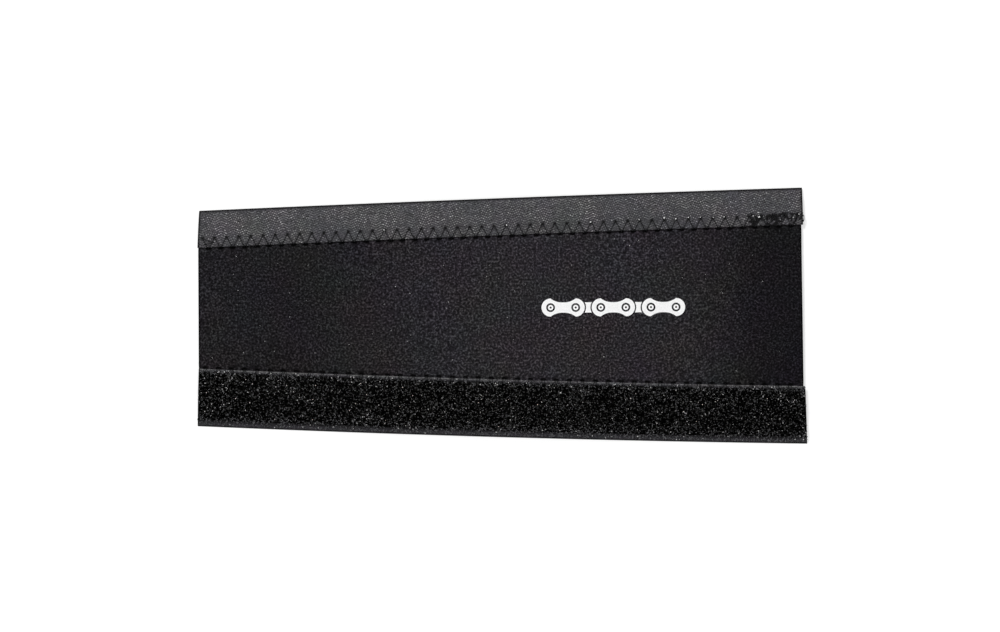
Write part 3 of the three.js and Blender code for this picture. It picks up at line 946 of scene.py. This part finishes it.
def uv_parts(tree):
    """The two parts of the piece's own UV, in mm."""
    where = node(tree, "ShaderNodeUVMap", uv_map="UVMap").outputs["UV"]
    split = node(tree, "ShaderNodeSeparateXYZ", {0: where}).outputs
    return split["X"], split["Y"]


def darken_for_shade_and_matting(tree, colour, least):
    """The colour, darkened to the share least by the pressed mark: painted shade, and in the hook tape's
    tacked patch its matted thread.
    """
    # The pressed mark carries painted shade, and the matted thread of the hook tape's tacked patch.
    shade = shares(tree, mark(tree, "pressed"), (0.0, 1), (1.0, least))
    return mix(tree, 1.0, colour, shade, "MULTIPLY")


# %% Knitted jersey
WALE, COURSE, SLANT = 0.36, 0.3, 0.9
# Painted light along the sheet, as shares that multiply the knit's colour: lighter in the middle and darker
# towards both ends, as the light falls.
JERSEY_PAINTED_FALLOFF = (
    (0.0, 0.6), (0.16, 0.54), (0.36, 0.86), (0.5, 1.0), (0.74, 0.96), (0.84, 0.8), (0.92, 0.44), (1.0, 0.36),
)


def jersey():
    """Fine jersey: wales and courses as a bump of small V stitches, over a near black ground that
    mottles a little towards grey, brown and violet. Light is painted on it along the sheet, lighter in
    the middle and darker towards both ends, and shade is painted where the pressed mark says."""
    made, tree, shader = material("knitted jersey", 0.9, 0.03, sheen=0.03)
    cloth = mottle(tree, 1150.0)
    u, v = uv_parts(tree)
    slant = maths(tree, u, "/", WALE, "FRACT", "-", 0.5, "ABSOLUTE", "*", SLANT)
    stitch = maths(tree, v, "/", COURSE, "+", slant, "FRACT", "*", np.pi, "SINE")
    ground = shades(tree, cloth["Grain"], (0.0, (18, 17, 19)), (0.35, (32, 30, 33)),
                    (0.7, (48, 46, 50)), (1.0, (75, 73, 77)))
    tinted = mix(tree, 0.22, ground, cloth["Tint"], "SOFT_LIGHT")
    # Painted light: the knit is lighter in the middle of the sheet and darker towards both ends.
    painted_falloff = shares(tree, maths(tree, u, "/", LENGTH, "+", 0.5), *JERSEY_PAINTED_FALLOFF)
    colour = darken_for_shade_and_matting(tree, mix(tree, 1.0, tinted, painted_falloff, "MULTIPLY"), 0.05)
    finish(tree, shader, colour, maths(tree, stitch, "+", cloth["Grain"]), 0.35, 0.00008)
    return made


def cut_foam():
    """The cut edge: black closed-cell foam, darker than the knit, with fine pores."""
    made, tree, shader = material("cut foam", 0.95, 0.03)
    where = node(tree, "ShaderNodeTexCoord").outputs["Object"]
    cells = node(tree, "ShaderNodeTexVoronoi", {"Vector": where, "Scale": 2600.0}).outputs["Distance"]
    finish(tree, shader, shades(tree, cells, (0.0, 5), (0.7, (24, 23, 25))), cells, 0.5, 0.0001)
    return made


# %% Woven tapes
RIB, PICK = 0.42, 0.5  # pitches of the plain weave, across the tape and along it


def weave_floats(tree, u, v):
    """The floats of the weave as nodes, by the same rule as the relief, and a number of each float."""
    fold = maths(tree, u, "/", FLOAT_WAVE, "FRACT", "-", 0.5, "ABSOLUTE")
    row = maths(tree, v, "+", maths(tree, fold, "*", 2 * FLOAT_RISE), "/", FLOAT_ROW)
    row_number = maths(tree, row, "FLOOR")
    dash = maths(tree, u, "/", FLOAT_PITCH, "+", maths(tree, row_number, "*", 0.5))

    def ridge(value, top, steep):
        off = maths(tree, value, "FRACT", "-", 0.5, "ABSOLUTE", "*", steep)
        return maths(tree, top, "-", off, clamp=True)

    on_float = maths(tree, ridge(row, *FLOAT_ACROSS), "*", ridge(dash, *FLOAT_ALONG))
    which = node(tree, "ShaderNodeCombineXYZ", {0: row_number, 1: maths(tree, dash, "FLOOR")}).outputs[0]
    chance = node(tree, "ShaderNodeTexWhiteNoise", {"Vector": which}, noise_dimensions="2D")
    return on_float, chance.outputs["Value"]


def woven(name, grey, ends):
    """Tape weave from the piece's UV: fine ribs along the tape. With ends, two greys that a float lies
    between, the back's floats are painted lighter over it as raised yarn that catches the light, each by its
    own random number. Without them, a highlight is painted along the tape's inner edge, broken by the grain."""
    made, tree, shader = material(name, 0.6, 0.08, sheen=0.04)
    u, v = uv_parts(tree)
    cloth = mottle(tree, 1500.0, 90.0)
    rib = maths(tree, v, "*", 2 * np.pi / RIB, "SINE")
    pick = maths(tree, u, "*", 2 * np.pi / PICK, "SINE")
    height = maths(tree, rib, "*", pick, "*", 0.4)
    low, high = grey * np.array([0.6, 0.588, 0.618]), grey * np.array([1.3, 1.274, 1.352])
    colour = shades(tree, cloth["Grain"], (0.0, low), (1.0, high))
    if ends:
        on_float, chance = weave_floats(tree, u, v)
        # Painted highlight: the floats are lighter, as raised yarn that catches the light.
        light = shades(tree, chance, (0.0, ends[0]), (0.9, ends[1]), (1.0, ends[1] * 1.3))
        bare = maths(tree, v, "-", 3.4, "*", 0.5, clamp=True)
        selvage = maths(tree, HOOK["tape"] - 0.7, "-", v, clamp=True)
        float_highlight_share = maths(tree, bare, "*", 0.22, "+", 0.63, "*", selvage,
                      "*", cloth["Patch"], "*", 1.9, "*", on_float, clamp=True)
        colour = mix(tree, float_highlight_share, colour, light)
        height = maths(tree, height, "+", on_float)
    else:
        # Painted highlight along the tape's inner edge, broken up by the grain.
        rim = maths(tree, maths(tree, 0.9, "-", v, clamp=True), "*", cloth["Grain"])
        colour = mix(tree, rim, colour, linear(135))
    colour = mix(tree, 0.1, colour, cloth["Tint"], "SOFT_LIGHT")
    finish(tree, shader, darken_for_shade_and_matting(tree, colour, 0.04), height, 0.5, 0.00012)
    return made


# %% Fibres
def pile_fibre():
    """Nylon pile by the mark of each loop: dark fibres, grey painted sheen and a few near white painted
    glints.
    """
    made, tree, shader = material("pile fibre", 0.45, 0.04)
    colour = shades(tree, mark(tree, "shine"), (0.0, 1), (0.3, 11), (0.36, (56, 56, 57)),
                    (0.85, (142, 142, 145)), (0.95, 160), (1.0, 250))
    tree.links.new(colour, shader.inputs["Base Color"])
    return made


def grained(name, roughness, specular, *stops, scale=2200.0, strength=0.3, distance=0.00005):
    """A surface whose colour and bump both follow one grain."""
    made, tree, shader = material(name, roughness, specular)
    grain = mottle(tree, scale)["Grain"]
    finish(tree, shader, shades(tree, grain, *stops), grain, strength, distance)
    return made


JERSEY, CORE, PILE_FIBRE = jersey(), cut_foam(), pile_fibre()
# The hook tape's floats are painted lighter, between the two greys given.
HOOK_WEAVE = woven("hook tape weave", 58, (76, 152))
LOOP_WEAVE = woven("loop tape weave", 68, None)
# The mat is the pile's own black, painted darker still as the shade deep between the tufts, with grey
# curls a few fibres wide painted as their sheen.
PILE_DARK = grained(
    "pile ground", 0.95, 0.0, (0.0, 0), (0.58, 1), (0.74, (9, 9, 8)), (0.88, (36, 36, 34)), (1.0, 80),
    scale=1500.0, strength=0.4, distance=0.0002,
)
THREAD_BLACK = grained("sewing thread", 0.45, 0.1, (0.0, (8, 8, 9)), (1.0, (26, 26, 28)))
HOOK_NYLON = grained("hook nylon", 0.35, 0.4, (0.0, (20, 20, 21)), (1.0, (40, 40, 42)))
PRINT_WHITE = grained("white print", 0.6, 0.2, (0.0, 238), (1.0, 252))
LINT_AND_GLINT_WHITE = grained("lint_and_glints", 0.8, 0.2, (0.0, 205), (1.0, 250))

# %% Dress the pieces
ROOT = next(iter(frame["bodies"]))


def dress(piece, slot_name, *materials, instead_of=()):
    """Gives a piece its materials and its body, and hides the nodes that it stands for. Its slot_name is not
    used.
    """
    for made in materials:
        piece.data.materials.append(made)
    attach(piece, ROOT)
    if instead_of:
        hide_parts(*instead_of)


dress(panel, "jersey_foam", JERSEY, CORE, instead_of=["neoprene_panel"])
dress(hook_weave, "hook_weave", HOOK_WEAVE, instead_of=["hook_tape"])
dress(loop_weave, "loop_pile", LOOP_WEAVE, instead_of=["loop_tape"])
dress(hooks, "hook_weave", HOOK_NYLON)
dress(pile_mat, "loop_pile", PILE_DARK)
for bundle in pile:
    dress(bundle, "loop_pile", PILE_FIBRE)
for thread in threads:
    whole_seam = thread.name.endswith(("needle", "bobbin"))
    dress(thread, "thread", THREAD_BLACK, instead_of=[f"{thread.name}_thread"] if whole_seam else [])
for part in prints:
    dress(part, "jersey_foam", PRINT_WHITE)
dress(specks, "jersey_foam", LINT_AND_GLINT_WHITE)

# %% [markdown]
# ## Floor, light and camera
# The sheet lies on a plain white floor under soft light, brightest from beyond its upper edge, so that
# each step between the tapes and the sheet shows as a fine line of light or shade. The camera looks
# straight down through a long lens, a little off centre and turned by a quarter of a degree.

# %% Floor
FLOOR_REACH, FLOOR_WHITE = 2000, 0.62
# Away from the sheet the lamps fade, so the floor's own glow rises with the distance in metres.
FLOOR_GLOW, FLOOR_RISE = 0.37, 0.85

floor_points = np.array([[-1, -1, 0], [1, -1, 0], [1, 1, 0], [-1, 1, 0]], float) * FLOOR_REACH
floor = new_piece("floor", floor_points, [np.array([[0, 1, 2, 3]])])
paper, paper_tree, paper_shader = material("white floor", 0.9, 0.1)
paper_shader.inputs["Base Color"].default_value = (FLOOR_WHITE, FLOOR_WHITE, FLOOR_WHITE, 1)


def seen_directly(tree):
    """1 for what the camera sees, itself or in a reflection, and 0 for the light that falls on things."""
    rays = tree.nodes.new("ShaderNodeLightPath").outputs
    glossy, transmission = rays["Is Glossy Ray"], rays["Is Transmission Ray"]
    return maths(tree, rays["Is Camera Ray"], "MAXIMUM", glossy, "MAXIMUM", transmission)


here = node(paper_tree, "ShaderNodeTexCoord").outputs["Object"]
far = node(paper_tree, "ShaderNodeVectorMath", {0: here}, operation="LENGTH").outputs["Value"]
glow = maths(paper_tree, far, "*", FLOOR_RISE, "+", FLOOR_GLOW, clamp=True)
glow = maths(paper_tree, glow, "*", seen_directly(paper_tree))
paper_tree.links.new(glow, paper_shader.inputs["Emission Strength"])
paper_shader.inputs["Emission Color"].default_value = (1, 1, 1, 1)
floor.data.materials.append(paper)

# %% Light
scene = bpy.context.scene
world = bpy.data.worlds.new("soft room")
scene.world = world
world.use_nodes = True
room, sky = world.node_tree, world.node_tree.nodes["Background"]
sky.inputs["Color"].default_value = (1, 1, 1, 1)
ROOM_LIGHT = 0.3
strength = maths(room, seen_directly(room), "*", 1 - ROOM_LIGHT, "+", ROOM_LIGHT)
room.links.new(strength, sky.inputs["Strength"])


def lamp(name, where, size, level):
    """A square soft lamp at a place in metres, aimed at the middle of the sheet. Level is the share of
    full light that it alone gives a level white surface there: power = level times pi squared times the
    distance squared, divided by the cosine of the lamp's angle from the vertical."""
    away = np.linalg.norm(where)
    upright = where[2] / away
    data = bpy.data.lights.new(name, "AREA")
    data.size = size
    data.energy = float(level * np.pi**2 * away**2 / upright)
    made = bpy.data.objects.new(name, data)
    made.location = where
    made.rotation_euler = (float(np.arccos(upright)), 0.0, float(np.arctan2(where[0], -where[1])))
    collection.objects.link(made)
    print(name, round(data.energy, 2), "W")


lamp("key lamp", (-0.35, 0.72, 0.95), size=0.3, level=0.52)
lamp("fill lamp", (0.4, -0.5, 1.3), size=1.0, level=0.2)

# %% Camera
PHOTO_WIDTH = 1000
MM_PER_PIXEL = 0.4303
SENSOR = 36
CAMERA_HEIGHT = 1.2
CENTRE_OFFSET = (-0.785, 0.495)  # mm, where the picture's middle lies from the middle of the box
ROLL = 0.28  # degrees

camera_data = bpy.data.cameras.new("camera")
camera_data.sensor_width = SENSOR
camera_data.lens = SENSOR * CAMERA_HEIGHT / (PHOTO_WIDTH * MM_PER_PIXEL * MM)
camera_data.clip_start = 0.01
camera = bpy.data.objects.new("camera", camera_data)
camera.location = (CENTRE_OFFSET[0] * MM, CENTRE_OFFSET[1] * MM, CAMERA_HEIGHT + FOAM * MM)
camera.rotation_euler = (0, 0, -np.radians(ROLL))
collection.objects.link(camera)
scene.camera = camera
scene.view_settings.view_transform = "Standard"
print("lens, mm:", round(camera_data.lens, 2))
